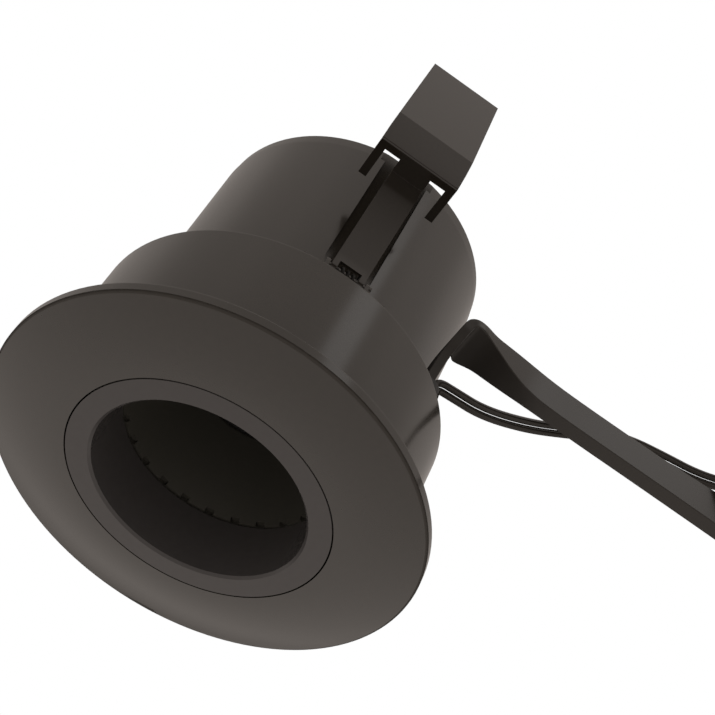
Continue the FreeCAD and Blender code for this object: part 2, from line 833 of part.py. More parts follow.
def arc_from(start, tangent, end):
    """The arc that leaves start along tangent and reaches end."""
    chord = end - start
    lean = tangent.getAngle(chord)
    along = FreeCAD.Vector(chord).normalize()
    aside = (tangent - along * tangent.dot(along)).normalize()
    middle = (start + end) * 0.5 + aside * (chord.Length / 2 * math.tan(lean / 2))
    return Part.Arc(start, middle, end).toShape()


def biarc(start, startTangent, end, endTangent):
    """Two arcs, tangent to each other and to the directions at both ends."""
    gap = end - start
    both = startTangent + endTangent
    bend = 2 * (1 - startTangent.dot(endTangent))
    reach = (math.sqrt(gap.dot(both) ** 2 + bend * gap.dot(gap)) - gap.dot(both)) / bend
    meet = (start + startTangent * reach + end - endTangent * reach) * 0.5
    return [arc_from(start, startTangent, meet), arc_from(end, endTangent * -1, meet)]


def tube(edges, start, direction, radius):
    ring = Part.Wire([Part.Circle(start, direction, radius).toShape()])
    return Part.Wire(Part.sortEdges(edges)[0]).makePipeShell([ring], True, False)


def least_gap(points, width):
    """Least free space between stretches of one wire that are not neighbours along it."""
    far = math.pi * width
    run = [0.0]
    for before, after in zip(points, points[1:]):
        run.append(run[-1] + (after - before).Length)
    gaps = [(points[i] - points[j]).Length
            for i in range(len(points)) for j in range(i) if run[i] - run[j] > far]
    return min(gaps) - width


def make_clip_spring(side, turned):
    """A torsion spring wound round the pin: a foot over the bracket, coils, and an arm behind the tongue."""
    radius = amount("springRadius")
    centre = FreeCAD.Vector(amount("pivotReach"), 0, amount("pivotHeight"))
    turns = amount("springTurns")
    pitch = amount("springPitch")
    width = turns * pitch
    rise = pitch / (2 * math.pi)
    quarters = math.ceil(turns * 4)
    total = 2 * math.pi * turns

    def place(angle):
        spin = -math.pi / 2 - angle
        return centre + FreeCAD.Vector(radius * math.cos(spin), rise * angle - width / 2,
                                       radius * math.sin(spin))

    def heading(angle):
        spin = -math.pi / 2 - angle
        return FreeCAD.Vector(radius * math.sin(spin), rise, -radius * math.cos(spin)).normalize()

    angles = [total * i / quarters for i in range(quarters + 1)]
    start = place(0) - heading(0) * amount("springFoot")
    end = place(total) + heading(total) * amount("springArm")
    edges = [Part.LineSegment(start, place(0)).toShape()]
    for before, after in zip(angles, angles[1:]):
        edges += biarc(place(before), heading(before), place(after), heading(after))
    edges.append(Part.LineSegment(place(total), end).toShape())
    solid = tube(edges, start, heading(0), amount("springWire") / 2)
    samples = quarters * quarterSamples
    points = [start] + [place(total * i / samples) for i in range(samples + 1)] + [end]
    print("clip_%s_spring least gap to itself %.2f mm" % (side, least_gap(points, amount("springWire"))))
    item = keep(doc.addObject("Part::Feature", "Spring"), "clip_%s_spring" % side)
    item.Shape = solid
    place_side(item, turned)


def make_grommet(label, azimuth, head, neck, bore, top):
    """A rubber bush bonded into the shoulder, turned about its own upright axis."""
    body = new_body(label)
    plate = "shoulderHeight - shoulderThickness"
    turn(body, (
        (bore, plate),
        (neck, plate),
        (neck, "shoulderHeight"),
        (head, "shoulderHeight"),
        (head, "shoulderHeight + " + top),
        (bore, "shoulderHeight + " + top),
    ))
    bind(body, Placement__Base__x="leadCircle * cos(%s)" % azimuth,
         Placement__Base__y="leadCircle * sin(%s)" % azimuth)


def rounded_path(points, radii, bend=None):
    """Straight runs joined by tangent arcs. Without a bend, each arc is as large as its runs allow."""
    edges = []
    start = points[0]
    for before, corner, after in zip(points, points[1:], points[2:]):
        inward = corner - before
        outward = after - corner
        half = inward.getAngle(outward) / 2
        reach = bendShare * min(inward.Length, outward.Length)
        if bend is not None:
            reach = bend * math.tan(half)
        radius = reach / math.tan(half)
        radii.append(radius)
        inward.normalize()
        outward.normalize()
        first = corner - inward * reach
        last = corner + outward * reach
        middle = corner + (outward - inward).normalize() * radius * (1 / math.cos(half) - 1)
        edges.append(Part.LineSegment(start, first).toShape())
        edges.append(Part.Arc(first, middle, last).toShape())
        start = last
    edges.append(Part.LineSegment(start, points[-1]).toShape())
    return edges


def make_lead(label, route, width):
    points = [FreeCAD.Vector(*point) for point in route]
    radii = []
    edges = rounded_path(points, radii)
    solid = tube(edges, points[0], points[1] - points[0], width / 2)
    length = sum(edge.Length for edge in edges)
    plain = length * math.pi * width ** 2 / 4
    print("%s length %.1f mm, radii %s, volume over section times length %.4f" % (
        label, length, " ".join("%.1f" % radius for radius in radii), solid.Volume / plain))
    item = keep(doc.addObject("Part::Feature", "Lead"), label)
    item.Shape = solid


def make_inner_wires():
    """Two wires from each lead, under the shoulder, through the cup's wall and up to the board."""
    board = amount(cup_ceiling() + " - boardThickness")
    outer = amount("leadCircle")
    inner = amount("wireDrop")
    low = amount("wireHeight")
    top = amount("shoulderHeight - shoulderThickness")
    width = amount("wireWidth")
    tubes = []
    for azimuth in ("supplyAzimuth", "flexAzimuth"):
        for offset in (-amount("wireSpread"), amount("wireSpread")):
            turned = FreeCAD.Rotation(FreeCAD.Vector(0, 0, 1), amount(azimuth))
            flat = ((outer, top), (outer, low), (inner, low), (inner, board))
            points = [turned.multVec(FreeCAD.Vector(reach, offset, up)) for reach, up in flat]
            edges = rounded_path(points, [], amount("wireBend"))
            tubes.append(tube(edges, points[0], points[1] - points[0], width / 2))
    item = keep(doc.addObject("Part::Feature", "Wires"), "inner_wires")
    item.Shape = Part.makeCompound(tubes)


def make_plug(label, centre, start, length, half, port, offset):
    """A small connector with two sockets in its far end, lying along Y."""
    body = new_body(label)
    across, up = centre
    short = half + " - plugChamfer"
    corners = ((short, half), (half, short), (half, "-(" + short + ")"), (short, "-" + half),
               ("-(" + short + ")", "-" + half), ("-" + half, "-(" + short + ")"), ("-" + half, short),
               ("-(" + short + ")", half))
    shell = sketch_on(body, "XZ_Plane")
    add_outline(shell, corners)
    pad(body, shell, length, back=True)
    ports = sketch_on(body, "XZ_Plane", "-(" + length + ")")
    add_circle(ports, offset, "0", port)
    add_circle(ports, "-" + offset, "0", port)
    pocket(body, ports, "2 * plugPortDepth")
    bind(body, Placement__Base__y=start)
    body.Placement.Base = FreeCAD.Vector(across, amount(start), up)


def make_clips():
    for side, turned in (("a", False), ("b", True)):
        make_clip_leaf(side, turned)
        make_clip_bracket(side, turned)
        make_clip_rivets(side, turned)
        make_clip_pin(side, turned)
        make_clip_spring(side, turned)


def make_leads():
    make_grommet("supply_grommet", "supplyAzimuth", "supplyWidth / 2", "supplyWidth / 2 - grommetNeck",
                 "supplyWidth / 2 - grommetNeck - grommetWall", "grommetTop")
    make_grommet("flex_grommet", "flexAzimuth", "flexGrommetHead", "flexGrommetNeck", "flexGrommetBore",
                 "flexGrommetTop")
    make_lead("supply_lead", supplyRoute, amount("supplyWidth"))
    make_lead("flex_lead", flexRoute, amount("flexWidth"))
    make_inner_wires()
    make_plug("supply_connector", (supplyRoute[-1][0], supplyRoute[-1][2]), "supplyPlugStart",
              "supplyPlugLength", "supplyPlugHalf", "plugPortRadius", "plugPortOffset")
    make_plug("flex_connector", (flexRoute[-1][0], flexRoute[-1][2]), "flexPlugStart",
              "flexPlugLength", "flexPlugHalf", "flexPortRadius", "flexPortOffset")


def write_parts():
    """Check every object, then write one file for each sub-part."""
    doc.recompute()
    for item in doc.Objects:
        if "Invalid" in item.State or "Error" in item.State:
            raise RuntimeError("%s (%s) did not compute" % (item.Label, item.Name))
    for item in subParts:
        if item.Shape.isNull() or not item.Shape.isValid():
            raise RuntimeError(item.Label + " has no valid shape")
    os.makedirs("parts", exist_ok=True)
    for item in subParts:
        item.Shape.exportStep("parts/%s.step" % item.Label)
        print("%-18s %d solid, %9.1f mm3" % (item.Label, len(item.Shape.Solids), item.Shape.Volume))


make_trim_flange()
make_front_barrel()
make_back_barrel()
make_back_cover()
make_trim_insert()
make_insert_snap_ring()
make_reflector()
make_lens()
make_led_parts()
make_module_housing()
make_thermal_pad()
make_heat_sink()
make_all_screws()
make_clips()
make_leads()
write_parts()
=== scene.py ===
import math

import bmesh
import bpy
import numpy as np
from mathutils import Matrix, Vector


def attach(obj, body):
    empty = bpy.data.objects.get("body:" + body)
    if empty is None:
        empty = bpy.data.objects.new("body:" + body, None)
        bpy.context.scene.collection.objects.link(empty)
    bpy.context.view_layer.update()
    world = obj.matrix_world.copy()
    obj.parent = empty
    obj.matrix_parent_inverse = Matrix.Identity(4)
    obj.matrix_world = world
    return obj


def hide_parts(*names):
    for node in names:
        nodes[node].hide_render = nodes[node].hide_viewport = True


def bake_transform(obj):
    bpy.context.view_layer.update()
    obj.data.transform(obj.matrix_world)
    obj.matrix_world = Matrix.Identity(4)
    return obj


# Recessed spotlight with two sprung clips, seen from below its flange.
# Metres, +Z up into the ceiling, clips on +X and -X, leads leaving towards +Y.

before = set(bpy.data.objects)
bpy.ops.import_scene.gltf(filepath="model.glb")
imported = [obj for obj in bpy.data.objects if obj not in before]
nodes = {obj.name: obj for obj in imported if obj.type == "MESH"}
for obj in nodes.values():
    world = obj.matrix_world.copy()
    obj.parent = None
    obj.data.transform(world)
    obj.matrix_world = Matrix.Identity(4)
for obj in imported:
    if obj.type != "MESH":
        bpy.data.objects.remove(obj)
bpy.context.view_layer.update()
scene = bpy.context.scene
mm = 0.001

# Fitted to the outlines of the flange, the gap, the mouth, both barrels and the clip
camera = {
    "place": (211.88, -13.44, -169.28),    # mm
    "right": (0.45679, 0.81947, 0.34615),
    "down": (-0.55325, 0.56641, -0.61082),
    "forward": (-0.69661, 0.08751, 0.71210),
    "lens": 75.52,
    "sensor": 36.0,
    "near": 0.01,
    "far": 10.0,
}


def makeCamera():
    data = bpy.data.cameras.new("camera")
    item = bpy.data.objects.new("camera", data)
    scene.collection.objects.link(item)
    columns = (camera["right"], [-v for v in camera["down"]], [-v for v in camera["forward"]])
    rows = [[column[i] for column in columns] + [camera["place"][i] * mm] for i in range(3)]
    item.matrix_world = Matrix(rows + [[0, 0, 0, 1]])
    data.sensor_width = camera["sensor"]
    data.lens = camera["lens"]
    data.clip_start = camera["near"]
    data.clip_end = camera["far"]
    scene.camera = item


makeCamera()
print("camera ready")


def linear(text):
    # An sRGB hex value as the linear colour that shaders read
    values = [int(text[i:i + 2], 16) / 255 for i in (1, 3, 5)]
    return (*(v / 12.92 if v <= 0.04045 else ((v + 0.055) / 1.055) ** 2.4 for v in values), 1.0)


def addNode(tree, kind, settings=None, feeds=None):
    # Adds a node. Settings hold its properties or sockets by name, feeds the outputs that enter its sockets
    node = tree.nodes.new(kind)
    for name, value in (settings or {}).items():
        if isinstance(name, str) and hasattr(node, name):
            setattr(node, name, value)
        else:
            node.inputs[name].default_value = value
    for name, source in (feeds or {}).items():
        tree.links.new(source, node.inputs[name])
    return node


def newMaterial(name):
    material = bpy.data.materials.new(name)
    material.use_nodes = True
    material.node_tree.nodes.clear()
    return material, material.node_tree


def finishMaterial(tree, settings, feeds):
    surface = addNode(tree, "ShaderNodeBsdfPrincipled", settings, feeds)
    addNode(tree, "ShaderNodeOutputMaterial", feeds={"Surface": surface.outputs["BSDF"]})


def addNoise(tree, place, size, detail):
    # A cloudy pattern whose waves are about size mm long
    return addNode(tree, "ShaderNodeTexNoise", {"Scale": 1 / (size * mm), "Detail": detail},
                   {"Vector": place}).outputs["Fac"]


def addRamp(tree, value, start, end=(0.0, 1.0)):
    # Carries a value from one range to another and holds it at both ends
    return addNode(tree, "ShaderNodeMapRange", {"From Min": start[0], "From Max": start[1],
                                                "To Min": end[0], "To Max": end[1]},
                   {"Value": value}).outputs["Result"]


def addMath(tree, operation, first, second):
    return addNode(tree, "ShaderNodeMath", {"operation": operation}, {0: first, 1: second}).outputs[0]


def addTint(tree, share, colours):
    return addNode(tree, "ShaderNodeMix", {"data_type": "RGBA", 6: linear(colours[0]), 7: linear(colours[1])},
                   {"Factor": share}).outputs[2]


def addBump(tree, height, depth, under=None, strength=1.0):
    # Bumps as deep as depth mm, laid over the normals that another bump gives
    return addNode(tree, "ShaderNodeBump", {"Strength": strength, "Distance": depth * mm},
                   {"Height": height, **({"Normal": under} if under else {})}).outputs["Normal"]


def upwardPart(tree):
    # How far each surface faces up: 1 for up, -1 for down
    normal = addNode(tree, "ShaderNodeNewGeometry").outputs["Normal"]
    return addNode(tree, "ShaderNodeSeparateXYZ", None, {"Vector": normal}).outputs["Z"]


coat = {
    "colours": ("#221d17", "#29231c"),
    "roughness": (0.15, 0.21),
    "gloss": 0.37,            # share of a plain varnish's reflection
    "peelSize": 1.4,          # mm between the waves of the sprayed coat
    "peelDepth": 0.0015,      # mm
    "grainSize": 0.25,        # mm, drawn coarser than the powder's grain so that it shows
    "grainDepth": 0.0004,
}
# Paler colours: painted light that lifts the insert's shaded bore; the lower gloss keeps its face's tone
shadeLiftedCoat = {**coat, "colours": ("#45403e", "#4a4543"), "gloss": 0.15}
# On the rounding round the flange's face, which is thinly covered: the surfaces that face down by a share
# between "outside" and "below", each a range in which the dull edge sets in
dullEdge = {
    "roughness": 0.6,
    "outside": (-0.965, -0.9),
    "below": (-0.15, -0.35),
}


def makeCoat(name, finish, edge=None):
    # Black powder coat on die-cast aluminium: deep colour, soft gloss, a faint orange peel
    material, tree = newMaterial(name)
    place = addNode(tree, "ShaderNodeTexCoord").outputs["Object"]
    peel = addNoise(tree, place, finish["peelSize"], 2.0)
    grain = addNoise(tree, place, finish["grainSize"], 1.0)
    rough = addRamp(tree, grain, (0.0, 1.0), finish["roughness"])
    if edge:
        facing = upwardPart(tree)
        share = addMath(tree, "MULTIPLY", addRamp(tree, facing, edge["outside"]),
                        addRamp(tree, facing, edge["below"]))
        rough = addNode(tree, "ShaderNodeMix", {"data_type": "FLOAT", 3: edge["roughness"]},
                        {"Factor": share, 2: rough}).outputs[0]
    wave = addBump(tree, peel, finish["peelDepth"])
    finishMaterial(tree, {"Specular IOR Level": finish["gloss"]}, {
        "Base Color": addTint(tree, peel, finish["colours"]), "Roughness": rough,
        "Normal": addBump(tree, grain, finish["grainDepth"], wave)})
    return material


roughnessSpread = 0.05


def makePlain(name, colours, roughness, metallic=0.0, gloss=0.5, size=0.6, depth=0.002):
    # A base for the smaller pieces: one colour broken by a fine noise that also moves the roughness
    material, tree = newMaterial(name)
    grain = addNoise(tree, addNode(tree, "ShaderNodeTexCoord").outputs["Object"], size, 3.0)
    finishMaterial(tree, {"Metallic": metallic, "Specular IOR Level": gloss}, {
        "Base Color": addTint(tree, grain, colours),
        "Roughness": addRamp(tree, grain, (0.0, 1.0), (roughness - roughnessSpread,
                                                       roughness + roughnessSpread)),
        "Normal": addBump(tree, grain, depth)})
    return material


smokedAcrylic = {
    "colour": "#1b1b1a",
    "roughness": 0.12,
    "index": 1.49,
    "clearness": 0.5,
    "pebbleSize": 1.2,        # mm
    "pebbleDepth": 0.05,      # mm
    "pebbleStrength": 0.4,
}


def makeLens():
    # Smoked moulded acrylic with a faint pebble that spreads the beam, near black while the lamp is off
    material, tree = newMaterial("smoked acrylic lens")
    place = addNode(tree, "ShaderNodeTexCoord").outputs["Object"]
    pebble = addNode(tree, "ShaderNodeTexVoronoi", {"Scale": 1 / (smokedAcrylic["pebbleSize"] * mm)},
                     {"Vector": place}).outputs["Distance"]
    finishMaterial(tree, {"Base Color": linear(smokedAcrylic["colour"]),
                          "Roughness": smokedAcrylic["roughness"], "IOR": smokedAcrylic["index"],
                          "Transmission Weight": smokedAcrylic["clearness"]},
                   {"Normal": addBump(tree, pebble, smokedAcrylic["pebbleDepth"],
                                      strength=smokedAcrylic["pebbleStrength"])})
    return material


sheath = {
    "colours": ("#241f19", "#1f1a15"),
    "gloss": 0.36,
    "roughness": (0.24, 0.62),      # on its upright side, and where it lies flat or was bent up
    "lyingFlat": (-0.35, -0.75),    # shares by which it faces down between which it grows dull
    "bentUp": (27.2, 26.2),         # mm along Y, between which it grows dull towards the bend
    "grainSize": 1.1,               # mm
    "grainDepth": 0.003,            # mm
}


def makeSheath():
    # Extruded black PVC: a soft sheen on its upright side, dull where it lies flat and where it was bent up
    material, tree = newMaterial("extruded black sheath")
    place = addNode(tree, "ShaderNodeTexCoord").outputs["Object"]
    grain = addNoise(tree, place, sheath["grainSize"], 3.0)
    reach = addNode(tree, "ShaderNodeSeparateXYZ", None, {"Vector": place}).outputs["Y"]
    dull = addMath(tree, "MAXIMUM", addRamp(tree, upwardPart(tree), sheath["lyingFlat"]),
                   addRamp(tree, reach, [value * mm for value in sheath["bentUp"]]))
    finishMaterial(tree, {"Specular IOR Level": sheath["gloss"]}, {
        "Base Color": addTint(tree, grain, sheath["colours"]),
        "Roughness": addRamp(tree, dull, (0.0, 1.0), sheath["roughness"]),
        "Normal": addBump(tree, grain, sheath["grainDepth"])})
    return material


powderCoat = makeCoat("black powder coat", coat)
# The same coat, dull where it runs thin over the rim's rounding
flangeCoat = makeCoat("black powder coat with a dull edge", coat, dullEdge)
# Duller copy of the coat on the insert, its colour painted paler as painted light so that its shaded bore
# isn't lost in the dark
insertCoat = makeCoat("duller black powder coat painted paler against shade", shadeLiftedCoat)
# Thin black coat on rolled spring steel: flat and even, with a soft gloss that shows the bends
clipCoat = makePlain("black coat on spring steel", ("#211c17", "#28221c"), 0.2, gloss=0.31, size=0.8,
                     depth=0.001)
# Oiled black spring wire: nearly no gloss, lost against the coat behind it
springSteel = makePlain("blackened spring wire", ("#14120f", "#1a1714"), 0.6, gloss=0.2, size=0.2)
# Black zinc on screws, rivets and pins: a dark metal sheen, brighter on their edges
platedSteel = makePlain("black zinc plated steel", ("#3c3a38", "#4a4846"), 0.32, 1.0, size=0.3)
# Turned aluminium: pale grey metal with a blurred shine
castAluminium = makePlain("plain turned aluminium", ("#b7b8ba", "#c6c7c9"), 0.34, 1.0, size=0.5)
# Moulded nylon: a fine spark-eroded grain that breaks its shine
blackNylon = makePlain("moulded black nylon", ("#191817", "#201f1d"), 0.42, size=0.35, depth=0.01)
# Matt polycarbonate, its colour painted paler than the coat as painted light that lifts the shaded depth of
# the mouth
reflectorPlastic = makePlain("moulded black polycarbonate", ("#37342e", "#3c3933"), 0.45, gloss=0.22,
                             size=0.5)
# Rubber: dull, with a soft and slightly uneven surface
bushRubber = makePlain("moulded black rubber", ("#171615", "#1d1c1a"), 0.6, size=0.5, depth=0.006)
leadSheath = makeSheath()
# Silicone sleeve: pale and waxy
wireSleeve = makePlain("silicone wire sleeve", ("#c4c3c0", "#d2d1ce"), 0.4, size=0.4)
# Solder resist: clean white with a smooth sheen
boardWhite = makePlain("white solder resist", ("#e4e4e0", "#efefeb"), 0.35, size=0.5)
# Phosphor gel over the light source: strong yellow, wet looking
phosphorGel = makePlain("yellow phosphor gel", ("#e9c94a", "#f0d566"), 0.3, size=0.3)
# Filled silicone pad: grey and chalky
padRubber = makePlain("grey thermal pad", ("#7d7f82", "#8a8c8f"), 0.7, size=0.4, depth=0.01)
lensAcrylic = makeLens()

finishes = {
    powderCoat: ("front_barrel", "back_barrel", "back_cover"),
    flangeCoat: ("trim_flange",),
    insertCoat: ("trim_insert",),
    clipCoat: ("clip_a_leaf", "clip_b_leaf", "clip_a_bracket", "clip_b_bracket"),
    springSteel: ("insert_snap_ring", "clip_a_spring", "clip_b_spring"),
    platedSteel: ("barrel_screws", "module_screws", "cover_screws", "clip_a_rivets", "clip_b_rivets",
                  "clip_a_pin", "clip_b_pin"),
    castAluminium: ("module_housing", "heat_sink"),
    blackNylon: ("led_holder", "supply_connector", "flex_connector"),
    reflectorPlastic: ("reflector",),
    bushRubber: ("supply_grommet", "flex_grommet"),
    leadSheath: ("supply_lead", "flex_lead"),
    wireSleeve: ("inner_wires",),
    boardWhite: ("led_board",),
    phosphorGel: ("led_emitter",),
    padRubber: ("thermal_pad",),
    lensAcrylic: ("lens",),
}
for material, names in finishes.items():
    for name in names:
        nodes[name].data.materials.clear()
        nodes[name].data.materials.append(material)
print("finishes ready")


def splineLine(name, route):
    # The smooth line that a lead follows: an open NURBS spline with the route's points as control points
    curve = bpy.data.curves.new(name, "CURVE")
    curve.dimensions = "3D"
    curve.resolution_u = 16
    spline = curve.splines.new("NURBS")
    spline.points.add(len(route) - 1)
    for point, place in zip(spline.points, route):
        point.co = (*(v * mm for v in place), 1.0)
    spline.order_u = 3
    spline.use_endpoint_u = True
    item = bpy.data.objects.new(name, curve)
    mesh = bpy.data.meshes.new_from_object(item)
    line = np.empty(len(mesh.vertices) * 3)
    mesh.vertices.foreach_get("co", line)
    bpy.data.objects.remove(item)
    bpy.data.meshes.remove(mesh)
    return line.reshape(-1, 3)


def unit(rows):
    return rows / np.linalg.norm(rows, axis=-1, keepdims=True)


def crossings(line):
    # Along a line: the direction nearest +X that is square to it, and the one square to both
    along = unit(np.gradient(line, axis=0))
    across = np.array([1.0, 0.0, 0.0])
    side = unit(across - along * (along @ across)[:, None])
    return side, np.cross(along, side)


def tubeMesh(rings):
    # Skin over rings of points, closed at both ends by a fan to the ring's middle
    count, sides, _ = rings.shape
    middles = rings[[0, -1]].mean(axis=1)
    points = np.concatenate([rings.reshape(-1, 3), middles])
    ring, side = np.meshgrid(np.arange(count - 1), np.arange(sides), indexing="ij")
    step = (side + 1) % sides
    walls = np.stack([ring * sides + side, ring * sides + step, (ring + 1) * sides + step,
                      (ring + 1) * sides + side], axis=-1).reshape(-1, 4)
    turn = np.arange(sides)
    last = (count - 1) * sides
    first = np.stack([(turn + 1) % sides, turn, np.full(sides, count * sides)], axis=-1)
    final = np.stack([last + turn, last + (turn + 1) % sides, np.full(sides, count * sides + 1)], axis=-1)
    return points, walls.tolist() + first.tolist() + final.tolist()


def newPiece(name, points, faces, material, body):
    mesh = bpy.data.meshes.new(name)
    mesh.from_pydata(points.tolist(), [], faces)
    mesh.polygons.foreach_set("use_smooth", [True] * len(mesh.polygons))
    mesh.materials.append(material)
    mesh.update()
    item = bpy.data.objects.new(name, mesh)
    scene.collection.objects.link(item)
    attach(item, body)
    return item


supplyLead = {
    "route": (                # mm, the points of the CAD tube with a tighter elbow
        (22.48, 23.61, 28.0),
        (22.48, 23.9, 34.6),
        (22.48, 24.9, 41.5),
        (22.48, 25.7, 45.0),
        (22.5, 29.5, 45.0),
        (22.5, 37.0, 44.7),
        (22.5, 50.0, 44.1),
        (22.5, 71.0, 44.3),
        (22.5, 93.0, 44.3),
    ),
    "length": 82.7,
    "width": 7.5,
    # distance along Y from the start, the section's size along X and across it, its shift along X and
    # across, all in mm
    "shape": (
        (0.0, 4.6, 1.9, 0.0, 0.0),
        (0.6, 5.4, 1.9, 0.6, 0.0),
        (1.3, 7.5, 1.9, 1.9, 0.0),
        (2.2, 9.5, 1.9, 0.9, 0.0),
        (3.4, 11.4, 1.9, 0.0, 0.0),
        (5.4, 10.9, 1.9, 0.0, 0.0),
        (7.4, 9.2, 2.2, 0.0, 0.0),
        (11.0, 7.4, 4.0, 0.0, 0.0),
        (14.4, 5.7, 5.7, 0.0, 0.0),
        (19.0, 4.0, 6.9, 0.0, 0.0),
        (24.0, 3.6, 6.9, 0.0, 0.0),
        (52.0, 3.6, 6.9, 0.0, 0.0),
        (62.0, 3.6, 8.2, 0.0, -0.65),
        (70.0, 3.6, 8.2, 0.0, -0.65),
    ),
    "blend": 9,               # samples over which the sizes run into each other
    "corner": 0.22,           # mm, the rounding along its four edges
    "cornerStep": 15,         # degrees between the points of a rounding
    "flatness": 80,           # how far its large sides rule the shading
}


def makeSupplyLead():
    # A wide flat lead folded lengthwise: a rectangle with rounded corners carried along the spline. It lies
    # flat where it leaves the bush, and the fold takes part of its width up into the upright side.
    line = splineLine("supply route", supplyLead["route"])
    reach = (line[:, 1] - line[0, 1]) / mm
    stations, *columns = (np.array(column) for column in zip(*supplyLead["shape"]))
    share = np.ones(supplyLead["blend"]) / supplyLead["blend"]
    margin = supplyLead["blend"] // 2
    sizes = (np.pad(np.interp(reach, stations, column), margin, mode="edge") for column in columns)
    flat, tall, aside, above = (np.convolve(size, share, "valid")[:, None] * mm for size in sizes)
    step = supplyLead["cornerStep"]
    turn = np.radians(np.arange(0, 360, step) + step / 2)
    corner = supplyLead["corner"] * mm
    across = aside + np.sign(np.cos(turn)) * (flat / 2 - corner) + np.cos(turn) * corner
    up = above + np.sign(np.sin(turn)) * (tall / 2 - corner) + np.sin(turn) * corner
    side, third = crossings(line)
    rings = line[:, None] + across[..., None] * side[:, None] + up[..., None] * third[:, None]
    points, faces = tubeMesh(rings)
    item = newPiece("supply_sheath", points, faces, leadSheath, "lamp")
    item.modifiers.new("flat sides", "WEIGHTED_NORMAL").weight = supplyLead["flatness"]
    item.visible_glossy = False    # its mirror image would darken the back barrel
    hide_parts("supply_lead")


flexLead = {
    "route": (                # mm, the points of the CAD tube with a tighter elbow
        (17.9, 27.25, 28.0),
        (17.9, 26.9, 32.4),
        (17.9, 26.7, 35.2),
        (17.8, 30.2, 35.6),
        (17.5, 37.2, 36.4),
        (17.1, 46.4, 40.9),
        (16.7, 54.4, 46.6),
        (16.6, 61.0, 51.5),
        (17.3, 67.5, 54.0),
        (19.2, 74.5, 53.5),
        (22.3, 81.0, 51.3),
        (26.4, 86.6, 49.8),
        (30.4, 91.4, 49.6),
        (32.0, 96.2, 50.0),
        (32.0, 101.0, 50.0),
    ),
    "length": 88.4,
    "width": 3.0,
    "core": 1.42,             # mm, each of its two cores
    "gap": 0.08,
    "twist": -45.0,           # degrees, which lays the cores one above the other in the main view
    "sides": 20,
}


def makeFlexLead():
    # Two round cores side by side: circles carried along the spline, each half a pitch from it
    line = splineLine("flex route", flexLead["route"])
    side, third = crossings(line)
    lean = math.radians(flexLead["twist"])
    apart = side * math.cos(lean) + third * math.sin(lean)
    turn = np.linspace(0, 2 * math.pi, flexLead["sides"], endpoint=False)
    circle = np.cos(turn)[:, None] * side[:, None] + np.sin(turn)[:, None] * third[:, None]
    pitch = (flexLead["core"] + flexLead["gap"]) * mm
    points, faces = [], []
    for sign in (-0.5, 0.5):
        rings = (line + apart * pitch * sign)[:, None] + circle * flexLead["core"] / 2 * mm
        corePoints, coreFaces = tubeMesh(rings)
        start = sum(len(part) for part in points)
        points.append(corePoints)
        faces += [[start + index for index in face] for face in coreFaces]
    item = newPiece("flex_cores", np.concatenate(points), faces, leadSheath, "lamp")
    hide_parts("flex_lead")


makeSupplyLead()
makeFlexLead()
print("leads ready")

copies = {
    "merged": 0.001,          # mm, closer points become one
    "level": 0.5,             # degrees, faces that differ by less become one
    "crease": 40,             # degrees from which an edge stays sharp
    "wallWeight": 90,         # how far the large faces rule the shading
    "bevelAngle": 30,         # degrees from which an edge is eased
    "bevelSteps": 2,
    "kneeHeight": 62.0,       # mm, where the clips' leaves bend
    "kneeMargin": 0.05,
}
turned = ("front_barrel", "back_barrel", "back_cover")
eased = {
    "clip_a_leaf": ("clip_a", 0.15),     # body and width of the eased edge in mm
    "clip_b_leaf": ("clip_b", 0.15),
    "clip_a_bracket": ("lamp", 0.08),
    "clip_b_bracket": ("lamp", 0.08),
}
springs = {
    "clip_a_spring": ("clip_a", (33.25, -1.9, 28.2), (33.25, 1.9, 28.2)),    # body and the coil's ends in mm
    "clip_b_spring": ("clip_b", (-33.25, 1.9, 28.2), (-33.25, -1.9, 28.2)),
}


def mergedCopy(name, suffix):
    # A copy of a piece with its points merged and its flat faces whole
    mesh = nodes[name].data.copy()
    mesh.name = name + suffix
    if "custom_normal" in mesh.attributes:
        mesh.attributes.remove(mesh.attributes["custom_normal"])
    work = bmesh.new()
    work.from_mesh(mesh)
    bmesh.ops.remove_doubles(work, verts=work.verts, dist=copies["merged"] * mm)
    bmesh.ops.dissolve_limit(work, angle_limit=math.radians(copies["level"]), verts=work.verts,
                             edges=work.edges)
    work.to_mesh(mesh)
    work.free()
    item = bpy.data.objects.new(name + suffix, mesh)
    scene.collection.objects.link(item)
    mesh.polygons.foreach_set("use_smooth", [True] * len(mesh.polygons))
    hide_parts(name)
    return item


def shadeTurned(name):
    # The straight walls of a turned piece keep their own shading right up to the small roundings
    item = mergedCopy(name, "_turned")
    item.data.set_sharp_from_angle(angle=math.radians(copies["crease"]))
    normals = item.modifiers.new("wall shading", "WEIGHTED_NORMAL")
    normals.weight = copies["wallWeight"]
    normals.keep_sharp = True
    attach(item, "lamp")


def easeEdges(name, body, width):
    # Takes the sharpness off the sheared edges of a pressed piece, and keeps a leaf's bend crisp
    item = mergedCopy(name, "_pressed")
    for edge in item.data.edges:
        drops = [item.data.vertices[index].co.z / mm - copies["kneeHeight"] for index in edge.vertices]
        edge.use_edge_sharp = max(abs(drop) for drop in drops) < copies["kneeMargin"]
    bevel = item.modifiers.new("eased edges", "BEVEL")
    bevel.width = width * mm
    bevel.segments = copies["bevelSteps"]
    bevel.limit_method = "ANGLE"
    bevel.angle_limit = math.radians(copies["bevelAngle"])
    bevel.harden_normals = True
    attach(item, body)


def windSpring(name):
    # A merged copy of the coil with its edges past the crease angle kept sharp and its placing baked into its
    # points
    item = mergedCopy(name, "_wound")
    item.data.set_sharp_from_angle(angle=math.radians(copies["crease"]))
    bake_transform(item)


for name in turned:
    shadeTurned(name)
for name, (body, width) in eased.items():
    easeEdges(name, body, width)
for name, (body, foot, arm) in springs.items():
    windSpring(name)
print("turned, pressed and wound pieces ready")

